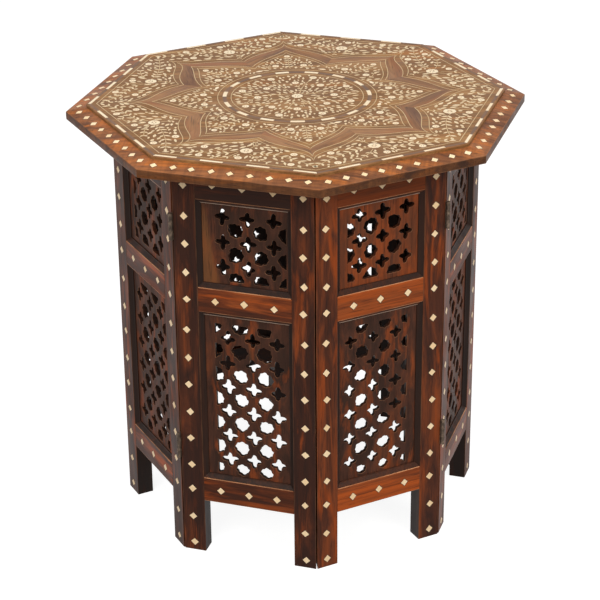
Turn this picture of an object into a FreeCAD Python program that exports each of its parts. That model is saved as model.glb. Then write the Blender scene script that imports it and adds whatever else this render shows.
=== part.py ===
import FreeCAD, Part
import math
import os

# Octagonal folding table: a loose eight-sided top on a base of eight hinged lattice panels.
# Millimetres, +Z up. The origin is on the floor under the middle of the top. The corners of
# the octagon lie on the X and Y axes and half way between them.

SIZES = {
    # panel frames
    "panel_side": 165.0,
    "panel_height": 490.0,
    "frame_thickness": 20.0,
    "stile_width": 27.5,
    "top_rail_width": 38.0,
    "middle_rail_width": 30.0,
    "bottom_rail_width": 31.0,
    "upper_opening_height": 106.0,
    "leg_length": 70.0,
    # pierced boards
    "jali_thickness": 5.0,
    "jali_setback": 6.0,
    "jali_fit": 0.1,
    "lattice_pitch": 29.5,
    "upper_row_pitch": 30.0,
    "lower_row_pitch": 31.0,
    "lattice_margin": 7.0,
    "star_reach": 9.8,
    "star_waist": 3.2,
    "rosette_reach": 10.2,
    # hinges
    "hinge_height": 32.0,
    "upper_hinge_drop": 73.0,
    "lower_hinge_rise": 141.0,
    "leaf_thickness": 1.0,
    "leaf_width": 13.0,
    "leaf_gap": 0.3,
    "knuckle_radius": 2.4,
    "knuckle_gap": 0.3,
    "knuckle_clearance": 0.1,
    "pin_radius": 1.1,
    "pin_clearance": 0.05,
    # top
    "top_overhang": 47.3,
    "border_width": 22.0,
    "border_edge": 9.6,
    "border_rise": 4.9,
    "field_step": 3.5,
}

SIDES = 8
HALF_CORNER = 180.0 / SIDES
STAR_POINTS = 4
KNUCKLE_SIDES = 6

# Where the lattice starts, as shares of the width and height that its whole rows leave over.
# The upper boards of the panels without pins are pierced a little nearer to the pinned corner.
UPPER_PLACE_SHARES = (0.66, 0.69)
MATE_UPPER_PLACE_SHARES = (0.27, 0.86)
LOWER_PLACE_SHARES = (0.78, 0.40)

# Panels in order round the base from its front corner. Every second one, from the second on,
# carries the hinge pins, and the others are their mirror images.
PANELS = ["front_right", "right_front", "right_back", "back_right",
          "back_left", "left_back", "left_front", "front_left"]
FRONT_ANGLE = -90.0

doc = FreeCAD.newDocument("folding_octagonal_table")
sheet = doc.addObject("Spreadsheet::Sheet", "sizes")
nodes = []


def enter_sizes():
    for row, (name, value) in enumerate(SIZES.items(), start=1):
        sheet.set("A%d" % row, name)
        sheet.set("B%d" % row, str(value))
        sheet.setAlias("B%d" % row, name)
    doc.recompute()


def size(name):
    return float(getattr(sheet, name))


def bind(thing, sizes):
    for path, formula in sizes.items():
        thing.setExpression(path, formula)


# Formulas that several pieces share, in the sheet's names.
SIDE_HALF = "sizes.panel_side / 2"
MIDDLE_RAIL_FOOT = ("(sizes.panel_height - sizes.top_rail_width - sizes.upper_opening_height"
                    " - sizes.middle_rail_width)")
APOTHEM = "sizes.panel_side / (2 * tan(%s))" % HALF_CORNER
OPENING = "(sizes.panel_side - 2 * sizes.stile_width)"
MITRE_GAP = "(sizes.leaf_thickness + sizes.leaf_gap / 2)"


def apothem():
    return size("panel_side") / 2 / math.tan(math.radians(HALF_CORNER))


def opening_width():
    return size("panel_side") - 2 * size("stile_width")


def upright_turn(angle):
    return FreeCAD.Rotation(FreeCAD.Vector(0, 0, 1), angle)


def node(kind, name, direction, links=None, shape=None):
    """A named sub-part: shapes made for a panel that faces the front, turned to its place."""
    piece = doc.addObject(kind, name)
    piece.Label = name
    if links:
        piece.Links = links
    if shape:
        piece.Shape = shape
    piece.Placement = FreeCAD.Placement(FreeCAD.Vector(0, 0, 0), upright_turn(direction - FRONT_ANGLE))
    nodes.append(piece)
    return piece


def mirrored(piece):
    image = doc.addObject("Part::Mirroring", piece.Name + "_mirrored")
    image.Source = piece
    image.Normal = FreeCAD.Vector(1, 0, 0)
    return image


# Frame of one panel

def make_stile():
    """Left upright, mitred on its outer end to meet the next panel's upright."""
    stile = doc.addObject("Part::Wedge", "stile")
    mitre = "%s / cos(%s)" % (MITRE_GAP, HALF_CORNER)
    bind(stile, {
        "Xmin": "%s - (%s)" % (mitre, SIDE_HALF),
        "X2min": "%s - (%s - sizes.frame_thickness) * tan(%s)" % (mitre, APOTHEM, HALF_CORNER),
        "Xmax": "sizes.stile_width - %s" % SIDE_HALF,
        "X2max": "sizes.stile_width - %s" % SIDE_HALF,
        "Ymin": "-%s" % APOTHEM,
        "Ymax": "sizes.frame_thickness - %s" % APOTHEM,
        "Zmax": "sizes.panel_height",
        "Z2max": "sizes.panel_height",
    })
    stile.Zmin = 0
    stile.Z2min = 0
    return stile


def make_rail(name, width, foot):
    rail = doc.addObject("Part::Box", name)
    bind(rail, {
        "Length": OPENING,
        "Width": "sizes.frame_thickness",
        "Height": width,
        "Placement.Base.x": "-%s / 2" % OPENING,
        "Placement.Base.y": "-%s" % APOTHEM,
        "Placement.Base.z": foot,
    })
    return rail


def make_rails():
    top = make_rail("top_rail", "sizes.top_rail_width", "sizes.panel_height - sizes.top_rail_width")
    middle = make_rail("middle_rail", "sizes.middle_rail_width", MIDDLE_RAIL_FOOT)
    bottom = make_rail("bottom_rail", "sizes.bottom_rail_width", "sizes.leg_length")
    return [top, middle, bottom]


# Pierced boards

def star(across, up):
    """Outline of a four-pointed star about a centre."""
    reach = size("star_reach")
    waist = size("star_waist")
    points = []
    for point in range(STAR_POINTS):
        turn = 2 * math.pi * point / STAR_POINTS
        hollow = turn + math.pi / STAR_POINTS
        points.append((across + reach * math.cos(turn), up + reach * math.sin(turn)))
        hollow_reach = waist / math.cos(math.pi / STAR_POINTS)
        points.append((across + hollow_reach * math.cos(hollow), up + hollow_reach * math.sin(hollow)))
    return points


def rosette(across, up, half_across, half_up):
    """Outline of a rosette: its four tips, or three of them where an edge cuts it in half."""
    reach = size("rosette_reach")
    tips = [(1, 0), (0, 1), (-1, 0), (0, -1)]
    kept = [(x, y) for x, y in tips if x * half_across >= 0 and y * half_up >= 0]
    return [(across + reach * x, up + reach * y) for x, y in kept]


def lattice(width, height, row_pitch, shares, cut_side, cut_top):
    """Outlines pierced in a board whose lower left corner is at nought.

    Stars stand in columns and rows with rosettes between them. The rosettes on one upright
    edge and on the lower edge are cut in half, and on the upper edge too where cut_top says.
    The corners are left solid.
    """
    pitch = size("lattice_pitch")
    columns = int((width - 2 * size("lattice_margin")) / pitch)
    rows = int((height - 2 * size("lattice_margin")) / row_pitch)
    left = (width - columns * pitch) * shares[0]
    foot = (height - rows * row_pitch) * shares[1]
    outlines = []
    for column in range(columns):
        for row in range(rows):
            outlines.append(star(left + (column + 0.5) * pitch, foot + (row + 0.5) * row_pitch))
    first = 0 if cut_side < 0 else 1
    last_row = rows if cut_top else rows - 1
    for column in range(first, first + columns):
        for row in range(last_row + 1):
            half_across = -cut_side if column in (0, columns) else 0
            half_up = 1 if row == 0 else 0
            half_up = -1 if row == rows else half_up
            if not (half_across and half_up):
                outlines.append(rosette(left + column * pitch, foot + row * row_pitch,
                                        half_across, half_up))
    return outlines


def plane_sketch(body, name, plane_role, offset, outlines):
    """A sketch of closed outlines on one of the body's own planes, at a distance along its normal."""
    sketch = body.newObject("Sketcher::SketchObject", name)
    plane = [plane for plane in body.Origin.OriginFeatures if plane.Role == plane_role][0]
    sketch.AttachmentSupport = [(plane, "")]
    sketch.MapMode = "FlatFace"
    sketch.setExpression("AttachmentOffset.Base.z", offset)
    lines = []
    for outline in outlines:
        for start, end in zip(outline, outline[1:] + outline[:1]):
            lines.append(Part.LineSegment(FreeCAD.Vector(start[0], start[1], 0),
                                          FreeCAD.Vector(end[0], end[1], 0)))
    sketch.addGeometry(lines, False)
    return sketch


def add_feature(body, kind, name, sketch, length):
    """Pad or pocket a sketch, and stop if that doesn't change the body's volume as it should."""
    before = body.Tip.Shape.Volume if body.Tip else 0
    feature = body.newObject("PartDesign::" + kind, name)
    feature.Profile = sketch
    feature.Refine = True
    feature.setExpression("Length", length)
    body.Tip = feature
    doc.recompute()
    grown = feature.Shape.Volume - before
    if grown <= 0 and kind == "Pad" or grown >= 0 and kind == "Pocket":
        raise ValueError(name + " changed nothing")
    return feature


def make_jali(name, foot, head, row_pitch, shares, cut_side, cut_top):
    """One pierced board, set back from the frame's outer face."""
    fit = size("jali_fit")
    width = opening_width() - 2 * fit
    height = head - foot - 2 * fit
    left = -width / 2
    low = foot + fit
    body = doc.addObject("PartDesign::Body", name)
    corners = [(left, low), (left + width, low), (left + width, low + height), (left, low + height)]
    back = "%s - sizes.jali_setback - sizes.jali_thickness" % APOTHEM
    outline = plane_sketch(body, name + "_outline", "XZ_Plane", back, [corners])
    add_feature(body, "Pad", name + "_board", outline, "sizes.jali_thickness")
    holes = lattice(width, height, row_pitch, shares, cut_side, cut_top)
    placed = [[(left + across, low + up) for across, up in hole] for hole in holes]
    front = "%s - sizes.jali_setback" % APOTHEM
    piercing = plane_sketch(body, name + "_lattice", "XZ_Plane", front, placed)
    add_feature(body, "Pocket", name + "_piercing", piercing, "sizes.jali_thickness")
    return body


def make_jalis():
    top_foot = size("panel_height") - size("top_rail_width")
    middle_head = top_foot - size("upper_opening_height")
    middle_foot = middle_head - size("middle_rail_width")
    bottom_head = size("leg_length") + size("bottom_rail_width")
    upper = make_jali("upper_jali", middle_head, top_foot, size("upper_row_pitch"),
                      UPPER_PLACE_SHARES, 1, False)
    mate_upper = make_jali("mate_upper_jali", middle_head, top_foot, size("upper_row_pitch"),
                           MATE_UPPER_PLACE_SHARES, 1, False)
    lower = make_jali("lower_jali", bottom_head, middle_foot, size("lower_row_pitch"),
                      LOWER_PLACE_SHARES, -1, True)
    return upper, mate_upper, lower


# Hinges. A hinge is made about its pin, which stands on the Z axis with its middle at nought;
# X points along the joint between two panels, from the pin into the wood. The plates lie in
# the joint with their knuckles in thirds of the height: two closed ones that hold the pin's
# ends on one plate, and a bored one between them on the other.

END_KNUCKLE = "(sizes.hinge_height / 3 - sizes.knuckle_gap / 2)"
MIDDLE_KNUCKLE = "(sizes.hinge_height / 3 - sizes.knuckle_gap)"


def barrel_corners(radius):
    """Corners of an even-sided outline round the pin, the first on the side of the plate."""
    turns = [2 * math.pi * corner / KNUCKLE_SIDES for corner in range(KNUCKLE_SIDES)]
    return [(radius * math.cos(turn), radius * math.sin(turn)) for turn in turns]


def plate_start():
    return size("knuckle_radius") + size("leaf_gap")


def plate_outline():
    near = -size("leaf_gap") / 2
    far = near - size("leaf_thickness")
    end = plate_start() + size("leaf_width")
    return [(plate_start(), far), (end, far), (end, near), (plate_start(), near)]


def knuckle_outline():
    """A barrel whose flanks run out into the end of its plate."""
    plate_end = [plate_outline()[0], plate_outline()[-1]]
    return plate_end + barrel_corners(size("knuckle_radius"))[1:]


def make_leaf(name, knuckle_feet, knuckle_height):
    """A plate with its knuckles, each from a foot to a height above it."""
    body = doc.addObject("PartDesign::Body", name)
    plate = plane_sketch(body, name + "_plate_outline", "XY_Plane", "-sizes.hinge_height / 2",
                         [plate_outline()])
    add_feature(body, "Pad", name + "_plate", plate, "sizes.hinge_height")
    for number, foot in enumerate(knuckle_feet):
        label = "%s_knuckle_%d" % (name, number)
        knuckle = plane_sketch(body, label + "_outline", "XY_Plane", foot, [knuckle_outline()])
        add_feature(body, "Pad", label, knuckle, knuckle_height)
    return body


def make_hinge():
    pin_leaf = make_leaf("pin_leaf", ["-sizes.hinge_height / 2", "sizes.hinge_height / 2 - " + END_KNUCKLE],
                         END_KNUCKLE)
    mate_leaf = make_leaf("mate_leaf", ["-%s / 2" % MIDDLE_KNUCKLE], MIDDLE_KNUCKLE)
    flat_to_corner = math.cos(math.pi / KNUCKLE_SIDES)
    bore_radius = (size("pin_radius") + size("pin_clearance")) / flat_to_corner
    bore = plane_sketch(mate_leaf, "bore_outline", "XY_Plane", MIDDLE_KNUCKLE + " / 2",
                        [barrel_corners(bore_radius)])
    add_feature(mate_leaf, "Pocket", "bore", bore, MIDDLE_KNUCKLE)
    pin = doc.addObject("Part::Prism", "pin")
    pin.Polygon = KNUCKLE_SIDES
    pin_length = "(sizes.hinge_height / 3 + sizes.knuckle_gap)"
    bind(pin, {
        "Circumradius": "sizes.pin_radius",
        "Height": pin_length,
        "Placement.Base.z": "-%s / 2" % pin_length,
    })
    doc.recompute()
    return pin_leaf, mate_leaf, pin


def hinge_copies(piece):
    """Copies of a hinge piece at the corners of a panel that faces the front and has pins.

    Its left corner folds about pins on the outside, whose barrels clear the wood. Its right
    corner folds about pins inside, whose plates start where the wood does.
    """
    half_corner = math.radians(HALF_CORNER)
    proud = (size("knuckle_radius") + size("knuckle_clearance")) / math.cos(half_corner)
    wood_start = (size("leaf_thickness") + size("leaf_gap") / 2) * math.tan(half_corner)
    outside = apothem() / math.cos(half_corner) + proud
    inside = (apothem() - size("frame_thickness")) / math.cos(half_corner) - plate_start() - wood_start
    heights = size("panel_height") - size("upper_hinge_drop"), size("lower_hinge_rise")
    copies = []
    for height in heights:
        for side, radius in ((-1, outside), (1, inside)):
            corner = side * HALF_CORNER + FRONT_ANGLE
            place = upright_turn(corner).multVec(FreeCAD.Vector(radius, 0, height))
            into_wood = corner if radius == inside else corner + 2 * FRONT_ANGLE
            shape = piece.Shape.copy()
            shape.Placement = FreeCAD.Placement(place, upright_turn(into_wood)).multiply(shape.Placement)
            copies.append(shape)
    return copies


# Top

def make_top():
    outer = "(%s + sizes.top_overhang)" % APOTHEM
    inner = "(%s - sizes.border_width)" % outer
    field = doc.addObject("Part::Prism", "top_field")
    field.Polygon = SIDES
    bind(field, {
        "Circumradius": "%s / cos(%s)" % (inner, HALF_CORNER),
        "Height": "sizes.border_edge + sizes.border_rise + sizes.field_step",
        "Placement.Base.z": "sizes.panel_height",
    })
    strip = doc.addObject("Part::Wedge", "border_strip")
    strip_head = "sizes.panel_height + sizes.border_edge"
    bind(strip, {
        "Xmin": "-%s * tan(%s)" % (outer, HALF_CORNER),
        "Xmax": "%s * tan(%s)" % (outer, HALF_CORNER),
        "X2min": "-%s * tan(%s)" % (inner, HALF_CORNER),
        "X2max": "%s * tan(%s)" % (inner, HALF_CORNER),
        "Ymin": "-%s" % outer,
        "Ymax": "-%s" % inner,
        "Zmin": "sizes.panel_height",
        "Z2min": "sizes.panel_height",
        "Zmax": strip_head,
        "Z2max": "%s + sizes.border_rise" % strip_head,
    })
    doc.recompute()
    strips = []
    for side in range(SIDES):
        shape = strip.Shape.copy()
        turn = upright_turn((side + 0.5) * 2 * HALF_CORNER)
        shape.Placement = FreeCAD.Placement(FreeCAD.Vector(0, 0, 0), turn).multiply(shape.Placement)
        strips.append(shape)
    node("Part::Compound", "top_board", FRONT_ANGLE, links=[field])
    node("Part::Feature", "top_border", FRONT_ANGLE, shape=Part.makeCompound(strips))


def make_base():
    stile = make_stile()
    rails = make_rails()
    upper, mate_upper, lower = make_jalis()
    pin_leaf, mate_leaf, pin = make_hinge()
    stile_image, upper_image, lower_image = [mirrored(piece) for piece in (stile, mate_upper, lower)]
    doc.recompute()
    leaves = Part.makeCompound(hinge_copies(pin_leaf))
    pins = Part.makeCompound(hinge_copies(pin))
    mates = Part.makeCompound(hinge_copies(mate_leaf))
    mates = mates.mirror(FreeCAD.Vector(0, 0, 0), FreeCAD.Vector(1, 0, 0))
    for place, name in enumerate(PANELS):
        direction = FRONT_ANGLE + (place + 0.5) * 2 * HALF_CORNER
        has_pins = place % 2 == 1
        node("Part::Compound", name + "_left_stile", direction, links=[stile])
        node("Part::Compound", name + "_right_stile", direction, links=[stile_image])
        node("Part::Compound", name + "_rails", direction, links=rails)
        node("Part::Compound", name + "_upper_jali", direction, links=[upper if has_pins else upper_image])
        node("Part::Compound", name + "_lower_jali", direction, links=[lower if has_pins else lower_image])
        node("Part::Feature", name + "_hinge_leaves", direction, shape=leaves if has_pins else mates)
        if has_pins:
            node("Part::Feature", name + "_hinge_pins", direction, shape=pins)


def check_and_write():
    doc.recompute()
    for thing in doc.Objects:
        if "Invalid" in thing.State or "Error" in thing.State:
            raise ValueError(thing.Name + " failed to build")
    for piece in nodes:
        if piece.Shape.isNull() or not piece.Shape.isValid():
            raise ValueError(piece.Label + " has no valid shape")
    os.makedirs("parts", exist_ok=True)
    for piece in nodes:
        piece.Shape.exportStep("parts/%s.step" % piece.Label)
    print(len(nodes), "sub-parts written")


enter_sizes()
make_base()
make_top()
check_and_write()
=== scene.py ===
"""The folding octagonal table as it looks: pierced rosewood panels and a top inlaid with bone.

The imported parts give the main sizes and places. This script dresses them: eased boards with wood
figure, lattice boards with curved stars and lobed rosettes, mitred beads, bone diamonds, round
hinges and the inlay of the top. Lengths are in millimetres until a piece is finished in metres.
"""

import random
from math import asin, atan2, cos, degrees, dist, pi, radians, sin, tan

import bmesh
import bpy
from mathutils import Matrix, Vector


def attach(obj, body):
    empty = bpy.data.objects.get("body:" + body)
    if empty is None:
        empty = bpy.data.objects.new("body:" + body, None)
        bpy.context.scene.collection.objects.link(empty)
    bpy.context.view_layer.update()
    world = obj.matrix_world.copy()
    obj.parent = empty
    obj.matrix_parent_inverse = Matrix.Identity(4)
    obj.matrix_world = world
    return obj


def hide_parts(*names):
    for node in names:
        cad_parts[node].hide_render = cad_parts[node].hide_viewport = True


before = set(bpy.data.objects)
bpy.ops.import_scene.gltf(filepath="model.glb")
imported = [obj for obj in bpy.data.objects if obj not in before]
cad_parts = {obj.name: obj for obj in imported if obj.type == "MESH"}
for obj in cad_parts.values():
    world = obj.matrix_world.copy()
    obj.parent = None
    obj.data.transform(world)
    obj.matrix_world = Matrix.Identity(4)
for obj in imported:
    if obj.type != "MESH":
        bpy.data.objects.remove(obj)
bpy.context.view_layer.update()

MM = 0.001
SIDES = 8
HALF_CORNER = 22.5
CORNER_TAN = tan(radians(HALF_CORNER))
UP = Vector((0, 0, 1))


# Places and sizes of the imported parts, in millimetres

def around(radius, turn):
    return radius * cos(turn), radius * sin(turn)


def polar(radius, angle):
    """A point round the table's axis, by an angle in degrees."""
    return Vector((*around(radius, radians(angle)), 0))


def extent(node, direction):
    """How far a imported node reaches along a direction."""
    return round(max(vert.co.dot(direction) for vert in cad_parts[node].data.vertices) / MM, 3)


def thickness(node):
    """How thick a node of the panel front_left is."""
    return extent(node, OUTWARDS) + extent(node, -OUTWARDS)


def opening(board):
    """The heights between which a pierced board is held."""
    return -extent(board, -UP) - BOARD_FIT, extent(board, UP) + BOARD_FIT


PANELS = {
    "front_right": -67.5, "right_front": -22.5, "right_back": 22.5, "back_right": 67.5,
    "back_left": 112.5, "left_back": 157.5, "left_front": 202.5, "front_left": 247.5,
}
PIN_PANELS = ("right_front", "back_right", "left_back", "front_left")
OUTWARDS = polar(1, PANELS["front_left"])

PANEL_SIDE = 165.0
PANEL_HEIGHT = extent("front_left_left_stile", UP)
FRAME_DEPTH = thickness("front_left_rails")
APOTHEM = PANEL_SIDE / 2 / CORNER_TAN
BOARD_FIT = 0.1
BOARD_FRONT = round(APOTHEM - extent("front_left_upper_jali", OUTWARDS), 2)
BOARD_THICKNESS = thickness("front_left_upper_jali")
OPENING_HALF = extent("front_left_upper_jali", UP.cross(OUTWARDS)) + BOARD_FIT
UPPER_OPENING = opening("front_left_upper_jali")
LOWER_OPENING = opening("front_left_lower_jali")
FIELD_APOTHEM = extent("top_board", OUTWARDS)
BORDER_OUTER = extent("top_border", OUTWARDS)
BORDER_FALL = 4.9
BORDER_INNER_TOP = extent("top_border", UP)


# Mesh tools

# Painted shade darkens a face by its amount. Boards without a tone of their own get one in ANY_TONE.
# Painted shade on faces that look into the base, downwards and onto a neighbouring upright.
INSIDE_PAINTED_SHADE = 1.25
# Painted shade on the walls of the lattice's holes.
HOLE_WALL_PAINTED_SHADE = 1.0
FACING = 0.9
ANY_TONE = (0.25, 0.75)
TONE_STRAY = 0.08
SMOOTH_ANGLE = radians(40)


def swung(x, y, centre, turn):
    """A point of a shape that is turned and then moved to its centre."""
    return centre[0] + x * cos(turn) - y * sin(turn), centre[1] + x * sin(turn) + y * cos(turn)


def way(start, end):
    """The way from one point of an outline to another."""
    return Vector((end[0] - start[0], end[1] - start[1]))


def linked(name, data):
    """A new object in the scene."""
    made = bpy.data.objects.new(name, data)
    bpy.context.collection.objects.link(made)
    return made


def upright(centre):
    return UP


def level(centre):
    """The way round the table, as rails and border strips run."""
    return UP.cross(Vector((centre.x, centre.y, 0))).normalized()


def sideways(centre):
    return Vector((1, 0, 0))


class Piece:
    """A mesh in the making, with the corners' wear and painted highlights, the faces' painted shade and the
    points' place in the grain.
    """

    def __init__(self, mesh=None):
        self.bm = bmesh.new()
        if mesh:
            self.bm.from_mesh(mesh)
            bmesh.ops.remove_doubles(self.bm, verts=self.bm.verts, dist=1e-6)
        # darkening carries painted shade; wear carries edge wear and, on rails and beads, a painted
        # highlight.
        for name in ("wear", "stain"):
            self.bm.loops.layers.float.new(name)

    def mark(self, face, name, value):
        layer = self.bm.loops.layers.float[name]
        for loop in face.loops:
            loop[layer] = value

    def solid(self, rings, worn=()):
        """A closed solid from rings of points, each ring one level; worn names the bands that are edges."""
        levels = [[self.bm.verts.new(point) for point in ring] for ring in rings]
        count = len(levels[0])
        self.bm.faces.new(reversed(levels[0]))
        self.bm.faces.new(levels[-1])
        for band, (low, high) in enumerate(zip(levels, levels[1:])):
            for place in range(count):
                after = (place + 1) % count
                face = self.bm.faces.new((low[place], low[after], high[after], high[place]))
                if band in worn:
                    self.mark(face, "wear", 1.0)

    def ease(self, width):
        """Rounds the edges over a width and marks the new faces for wear, which on the rails is partly a
        painted highlight.
        """
        made = bmesh.ops.bevel(self.bm, geom=list(self.bm.edges), offset=width, segments=2,
                               affect="EDGES", profile=0.6, clamp_overlap=True)
        for face in made["faces"]:
            self.mark(face, "wear", 1.0)

    def shade_towards(self, direction):
        """Darkens with painted shade the faces that look in a direction, such as into the base or down."""
        self.bm.normal_update()
        for face in self.bm.faces:
            if face.normal.dot(direction) > FACING:
                self.mark(face, "stain", INSIDE_PAINTED_SHADE)

    def islands(self):
        """The points of each separate solid, in their own order."""
        seen = set()
        for start in self.bm.verts:
            if start in seen:
                continue
            seen.add(start)
            island, waiting = [start], [start]
            while waiting:
                for edge in waiting.pop().link_edges:
                    for other in edge.verts:
                        if other not in seen:
                            seen.add(other)
                            island.append(other)
                            waiting.append(other)
            yield island

    def finish(self, name, body, slot, material, along, smooth=False, tone=None):
        """Makes the object. along gives the grain's direction at an island's centre.

        Each board is lighter or darker by its tone, from 0 to 1.
        """
        dice = random.Random(name)
        self.bm.verts.index_update()
        grain = self.bm.verts.layers.float_vector.new("grain")
        shade = self.bm.verts.layers.float.new("tone")
        for island in self.islands():
            centre = sum((vert.co for vert in island), Vector()) / len(island)
            direction = along(centre)
            across = direction.cross(UP)
            across = across.normalized() if across.length > 0.1 else UP.cross(centre).normalized()
            through = direction.cross(across)
            shift = Vector([dice.uniform(0, 9) for _ in range(3)])
            board_tone = (dice.uniform(*ANY_TONE) if tone is None
                          else tone + dice.uniform(-TONE_STRAY, TONE_STRAY))
            for vert in island:
                vert[shade] = board_tone
                place = Vector((vert.co.dot(across), vert.co.dot(through), vert.co.dot(direction)))
                vert[grain] = place * MM + shift
        bmesh.ops.scale(self.bm, vec=(MM, MM, MM), verts=self.bm.verts)
        bmesh.ops.recalc_face_normals(self.bm, faces=self.bm.faces)
        mesh = bpy.data.meshes.new(name)
        self.bm.to_mesh(mesh)
        self.bm.free()
        mesh.materials.append(material)
        if smooth:
            mesh.shade_smooth()
            mesh.set_sharp_from_angle(angle=SMOOTH_ANGLE)
        piece = linked(name, mesh)
        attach(piece, body)
        return piece


def packed(node):
    """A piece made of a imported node's solids, in millimetres, with their flat faces whole again."""
    piece = Piece(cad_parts[node].data)
    bmesh.ops.dissolve_limit(piece.bm, angle_limit=0.01, verts=piece.bm.verts, edges=piece.bm.edges)
    bmesh.ops.scale(piece.bm, vec=(1 / MM, 1 / MM, 1 / MM), verts=piece.bm.verts)
    return piece


def inset(outline, width):
    """An outline moved inwards, corner by corner. The outline runs anticlockwise."""
    moved = []
    for before, point, after in zip(outline[-1:] + outline[:-1], outline, outline[1:] + outline[:1]):
        one, two = way(before, point).normalized(), way(point, after).normalized()
        normal = Vector((-one.y - two.y, one.x + two.x)).normalized()
        reach = width / max(0.5, normal.dot(Vector((-one.y, one.x))))
        moved.append((point[0] + normal.x * reach, point[1] + normal.y * reach))
    return moved


def plate(piece, outline, place, bottom, top, chamfer):
    """A thin plate let into a face. place turns an outline's point and a height into a point in space."""
    area = sum(a[0] * b[1] - b[0] * a[1] for a, b in zip(outline, outline[1:] + outline[:1]))
    if area < 0:
        outline = outline[::-1]
    crown = inset(outline, chamfer)
    piece.solid([
        [place(x, y, bottom) for x, y in outline],
        [place(x, y, top - chamfer) for x, y in outline],
        [place(x, y, top) for x, y in crown],
    ], worn=(1,))


INLAY_BOTTOM = 507.3
BONE_TOP = 508.0
PLATE_CHAMFER = 0.1
LEAF_CHAMFER = 0.12
LINE_TOP = 507.96
LINE_SHOULDER = LINE_TOP - 0.05
LINE_WIDTH = 0.8
PATH_STEPS = 6


def ribbon(piece, path, place, closed=False):
    """A thin strip let into the top along a path."""
    count = len(path)
    rings = []
    for index, point in enumerate(path):
        before = path[index - 1] if index or closed else point
        after = path[(index + 1) % count] if index < count - 1 or closed else point
        along = way(before, after).normalized()
        side = Vector((-along.y, along.x)) * LINE_WIDTH / 2
        middle = Vector(point)
        left, right = middle + side, middle - side
        rings.append([place(*left, INLAY_BOTTOM), place(*left, LINE_SHOULDER), place(*middle, LINE_TOP),
                      place(*right, LINE_SHOULDER), place(*right, INLAY_BOTTOM)])
    verts = [[piece.bm.verts.new(point) for point in ring] for ring in rings]
    for index in range(count if closed else count - 1):
        low, high = verts[index], verts[(index + 1) % count]
        for corner in range(5):
            after = (corner + 1) % 5
            piece.bm.faces.new((low[corner], high[corner], high[after], low[after]))
    if not closed:
        piece.bm.faces.new(verts[0])
        piece.bm.faces.new(reversed(verts[-1]))


def smooth_path(points):
    """A smooth path through points."""
    knots = [Vector(point) for point in points]
    knots = [2 * knots[0] - knots[1]] + knots + [2 * knots[-1] - knots[-2]]
    made = []
    for index in range(1, len(knots) - 2):
        a, b, c, d = knots[index - 1:index + 3]
        for step in range(PATH_STEPS):
            t = step / PATH_STEPS
            made.append(0.5 * (2 * b + (c - a) * t + (2 * a - 5 * b + 4 * c - d) * t * t
                               + (3 * b - a - 3 * c + d) * t ** 3))
    made.append(knots[-2])
    return made


# Materials. Colours are given as the eye names them, from 0 to 255.

def linear(colour):
    """A colour in the linear numbers that shaders take."""
    values = [channel / 255 for channel in colour]
    return tuple(v / 12.92 if v <= 0.04045 else ((v + 0.055) / 1.055) ** 2.4 for v in values) + (1.0,)


class Shader:
    """The nodes of a material or of the world, made and joined by name."""

    def __init__(self, owner, surface="Principled BSDF"):
        self.owner = owner
        owner.use_nodes = True
        self.nodes, self.links = owner.node_tree.nodes, owner.node_tree.links
        self.surface = self.nodes[surface]

    def add(self, kind, values=None, links=None, **settings):
        node = self.nodes.new(kind)
        for key, value in settings.items():
            setattr(node, key, value)
        for key, value in (values or {}).items():
            node.inputs[key].default_value = value
        for key, source in (links or {}).items():
            self.links.new(source, node.inputs[key])
        return node

    def mark(self, name, output="Fac"):
        """What the mesh carries under a name."""
        return self.add("ShaderNodeAttribute", attribute_name=name).outputs[output]

    def noise(self, across, along, detail=4.0, roughness=0.5, distortion=0.0):
        """Noise in the grain, by how fine it is across and along it."""
        stretched = self.add("ShaderNodeVectorMath", {1: (across, across, along)},
                             {0: self.mark("grain", "Vector")}, operation="MULTIPLY")
        return self.add("ShaderNodeTexNoise", {"Scale": 1.0, "Detail": detail, "Roughness": roughness,
                                               "Distortion": distortion},
                        {"Vector": stretched.outputs[0]}).outputs["Fac"]

    def ramp(self, value, *stops):
        node = self.add("ShaderNodeValToRGB", links={"Fac": value})
        elements = node.color_ramp.elements
        while len(elements) < len(stops):
            elements.new(0.5)
        for element, (place, colour) in zip(elements, stops):
            element.position = place
            element.color = linear(colour) if isinstance(colour, tuple) else (colour,) * 3 + (1.0,)
        return node.outputs["Color"]

    def mix(self, share, first, second):
        node = self.add("ShaderNodeMix", data_type="RGBA")
        for place, value in ((0, share), (6, first), (7, second)):
            if isinstance(value, tuple):
                node.inputs[place].default_value = linear(value)
            else:
                self.links.new(value, node.inputs[place])
        return node.outputs[2]

    def cover(self, colour, other, value, *stops):
        """Lays another colour over one, by a value and its stops."""
        return self.mix(self.ramp(value, *stops), colour, other)

    def maths(self, operation, first, second):
        node = self.add("ShaderNodeMath", operation=operation)
        for socket, value in zip(node.inputs, (first, second)):
            if isinstance(value, float):
                socket.default_value = value
            else:
                self.links.new(value, socket)
        return node.outputs[0]

    def shown(self):
        """1 on the rays by which the camera sees, also in gloss and through glass, and 0 on others."""
        path = self.add("ShaderNodeLightPath").outputs
        seen = self.maths("MAXIMUM", path["Is Camera Ray"], path["Is Glossy Ray"])
        return self.maths("MAXIMUM", seen, path["Is Transmission Ray"])

    def finish(self, colour, roughness, height, strength, distance, **values):
        """Gives the surface its colour, roughness, relief and other values."""
        bump = self.add("ShaderNodeBump", {"Strength": strength, "Distance": distance}, {"Height": height})
        for key, source in (("Base Color", colour), ("Roughness", roughness), ("Normal", bump.outputs[0])):
            self.links.new(source, self.surface.inputs[key])
        for key, value in values.items():
            self.surface.inputs[key.replace("_", " ")].default_value = value
        return self.owner


def new_shader(name):
    return Shader(bpy.data.materials.new(name))


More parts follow.
